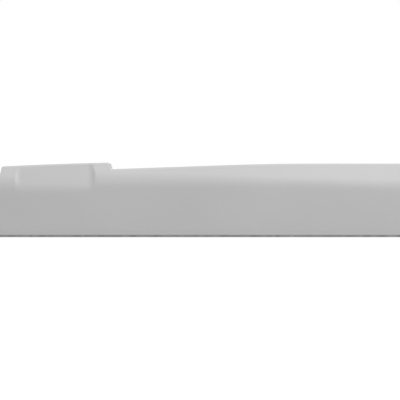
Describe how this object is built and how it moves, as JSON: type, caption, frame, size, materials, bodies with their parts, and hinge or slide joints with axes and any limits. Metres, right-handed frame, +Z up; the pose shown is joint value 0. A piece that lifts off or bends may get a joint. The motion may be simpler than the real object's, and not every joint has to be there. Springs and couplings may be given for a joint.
{
  "type": "diving board",
  "caption": "Low pool diving board: long flat board hinged at its rear and sprung inside a moulded cowling with side grip recesses, bolted down to the deck.",
  "frame": {"origin": "centre of the four deck-bolt holes, at the deck surface", "axes": "+X towards the board's tip, +Y to the left seen from the rear, +Z up"},
  "size_m": [2.558, 0.6, 0.1488],
  "materials": {
    "moulded_cowling": "satin gelcoat, light grey",
    "gasket_rubber": "black EPDM",
    "galvanised_steel": "hot-dip galvanised",
    "spring_steel": "black epoxy coated spring steel",
    "stop_rubber": "moulded rubber",
    "stainless": "stainless steel",
    "bush_polymer": "acetal",
    "board_gelcoat": "acrylic-faced glass fibre, pale grey",
    "sanded_tread": "sanded non-slip coat",
    "core_timber": "Douglas fir"
  },
  "bodies": {
    "base": {"base_shell": "moulded_cowling", "base_gasket": "gasket_rubber", "rear_base_plate": "galvanised_steel", "front_base_plate": "galvanised_steel", "cross_member": "galvanised_steel", "frame_rail_left": "galvanised_steel", "frame_rail_right": "galvanised_steel", "hinge_bracket_left": "galvanised_steel", "hinge_bracket_right": "galvanised_steel", "clevis_pin_left": "stainless", "clevis_pin_right": "stainless", "cotter_pins": "stainless", "lower_spring_seats": "galvanised_steel", "bump_stop": "stop_rubber", "rebound_bumper": "stop_rubber", "bracket_bolts": "stainless", "seat_bolts": "stainless", "shell_screws": "stainless", "shell_nuts": "stainless", "spring_left": "spring_steel", "spring_right": "spring_steel"},
    "board": {"board_hull": "board_gelcoat", "board_deck": "board_gelcoat", "board_tread": "sanded_tread", "hinge_plate": "galvanised_steel", "hinge_bushings": "bush_polymer", "spring_plate": "galvanised_steel", "upper_spring_seats": "galvanised_steel", "core_stringer_1": "core_timber", "core_stringer_2": "core_timber", "core_stringer_3": "core_timber", "core_stringer_4": "core_timber", "core_stringer_5": "core_timber", "board_bolts": "stainless", "board_bolt_washers": "stainless", "board_bolt_nuts": "stainless", "bolt_sleeves": "stainless"}
  },
  "joints": [
    {"name": "board_hinge", "type": "hinge", "parent": "base", "child": "board", "pos_m": [-0.4, 0, 0.048], "axis": [0, 1, 0], "range_deg": [0, 2], "stiffness_Nm_per_rad": 70000, "springref_deg": -0.74, "deforming": ["spring_left", "spring_right"]}
  ]
}
